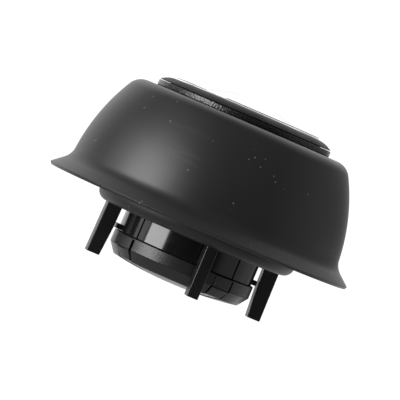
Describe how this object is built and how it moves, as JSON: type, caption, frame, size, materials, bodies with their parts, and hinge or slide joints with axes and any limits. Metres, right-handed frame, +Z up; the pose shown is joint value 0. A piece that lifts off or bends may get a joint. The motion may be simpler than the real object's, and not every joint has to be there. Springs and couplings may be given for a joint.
{
  "type": "garbage disposal throat assembly",
  "caption": "Bell-shaped rubber throat gasket of a kitchen garbage disposal, with a legged guide sleeve, a lift-out splash guard with rubber flaps and a domed stopper.",
  "frame": {"origin": "on the axis, on the plane where the bell's flared lip seats", "axes": "+Z up along the axis, towards the domed stopper; the four legs lie on +X, +Y, -X and -Y"},
  "size_m": [0.1212, 0.1212, 0.081],
  "materials": {
    "bell_rubber": "matte moulded rubber with a soft satin bloom",
    "plug_rubber": "matte moulded rubber",
    "flap_rubber": "soft matte rubber with cut edges",
    "seal_rubber": "smooth seal rubber",
    "satin_plastic": "satin black moulded plastic",
    "gloss_plastic": "glossy black moulded plastic",
    "slip_plastic": "smooth slip washer",
    "stainless": "brushed stainless steel",
    "polished_steel": "polished stainless steel"
  },
  "bodies": {
    "housing": {"bell_gasket": "bell_rubber", "guide_sleeve": "satin_plastic", "collar_nut": "gloss_plastic", "collar_washer": "slip_plastic", "throat_plug": "plug_rubber", "plug_clamp_band": "stainless", "plug_clamp_screw": "stainless"},
    "core": {"guard_barrel": "gloss_plastic", "barrel_o_ring": "seal_rubber", "splash_cup": "flap_rubber", "cup_retainer": "stainless"},
    "flap_1": {"flap_1": "flap_rubber"},
    "flap_2": {"flap_2": "flap_rubber"},
    "flap_3": {"flap_3": "flap_rubber"},
    "flap_4": {"flap_4": "flap_rubber"},
    "flap_5": {"flap_5": "flap_rubber"},
    "flap_6": {"flap_6": "flap_rubber"},
    "flap_7": {"flap_7": "flap_rubber"},
    "flap_8": {"flap_8": "flap_rubber"},
    "stopper": {"stopper_body": "satin_plastic", "stopper_lip_seal": "seal_rubber", "stopper_rim": "gloss_plastic", "dome_bezel": "polished_steel", "stopper_seal": "seal_rubber", "stopper_dome": "polished_steel", "dome_stud": "stainless", "dome_washer": "stainless", "dome_nut": "stainless"}
  },
  "joints": [
    {"name": "core_lift", "type": "slide", "parent": "housing", "child": "core", "axis": [0, 0, 1], "range_m": [0, 0.086]},
    {"name": "stopper_lift", "type": "slide", "parent": "core", "child": "stopper", "axis": [0, 0, 1], "range_m": [0, 0.04]},
    {"name": "flap_1_bend", "type": "hinge", "parent": "core", "child": "flap_1", "pos_m": [0.01034, 0.02624, -0.01755], "axis": [0.9304, -0.3665, 0], "range_deg": [0, 45], "stiffness_Nm_per_rad": 0.004, "springref_deg": -11.46},
    {"name": "flap_2_bend", "type": "hinge", "parent": "core", "child": "flap_2", "pos_m": [-0.01124, 0.02586, -0.01755], "axis": [0.9171, 0.3987, 0], "range_deg": [0, 45], "stiffness_Nm_per_rad": 0.004, "springref_deg": -11.46},
    {"name": "flap_3_bend", "type": "hinge", "parent": "core", "child": "flap_3", "pos_m": [-0.02624, 0.01034, -0.01755], "axis": [0.3665, 0.9304, 0], "range_deg": [0, 45], "stiffness_Nm_per_rad": 0.004, "springref_deg": -11.46},
    {"name": "flap_4_bend", "type": "hinge", "parent": "core", "child": "flap_4", "pos_m": [-0.02586, -0.01124, -0.01755], "axis": [-0.3987, 0.9171, 0], "range_deg": [0, 45], "stiffness_Nm_per_rad": 0.004, "springref_deg": -11.46},
    {"name": "flap_5_bend", "type": "hinge", "parent": "core", "child": "flap_5", "pos_m": [-0.01034, -0.02624, -0.01755], "axis": [-0.9304, 0.3665, 0], "range_deg": [0, 45], "stiffness_Nm_per_rad": 0.004, "springref_deg": -11.46},
    {"name": "flap_6_bend", "type": "hinge", "parent": "core", "child": "flap_6", "pos_m": [0.01124, -0.02586, -0.01755], "axis": [-0.9171, -0.3987, 0], "range_deg": [0, 45], "stiffness_Nm_per_rad": 0.004, "springref_deg": -11.46},
    {"name": "flap_7_bend", "type": "hinge", "parent": "core", "child": "flap_7", "pos_m": [0.02624, -0.01034, -0.01755], "axis": [-0.3665, -0.9304, 0], "range_deg": [0, 45], "stiffness_Nm_per_rad": 0.004, "springref_deg": -11.46},
    {"name": "flap_8_bend", "type": "hinge", "parent": "core", "child": "flap_8", "pos_m": [0.02586, 0.01124, -0.01755], "axis": [0.3987, -0.9171, 0], "range_deg": [0, 45], "stiffness_Nm_per_rad": 0.004, "springref_deg": -11.46}
  ]
}
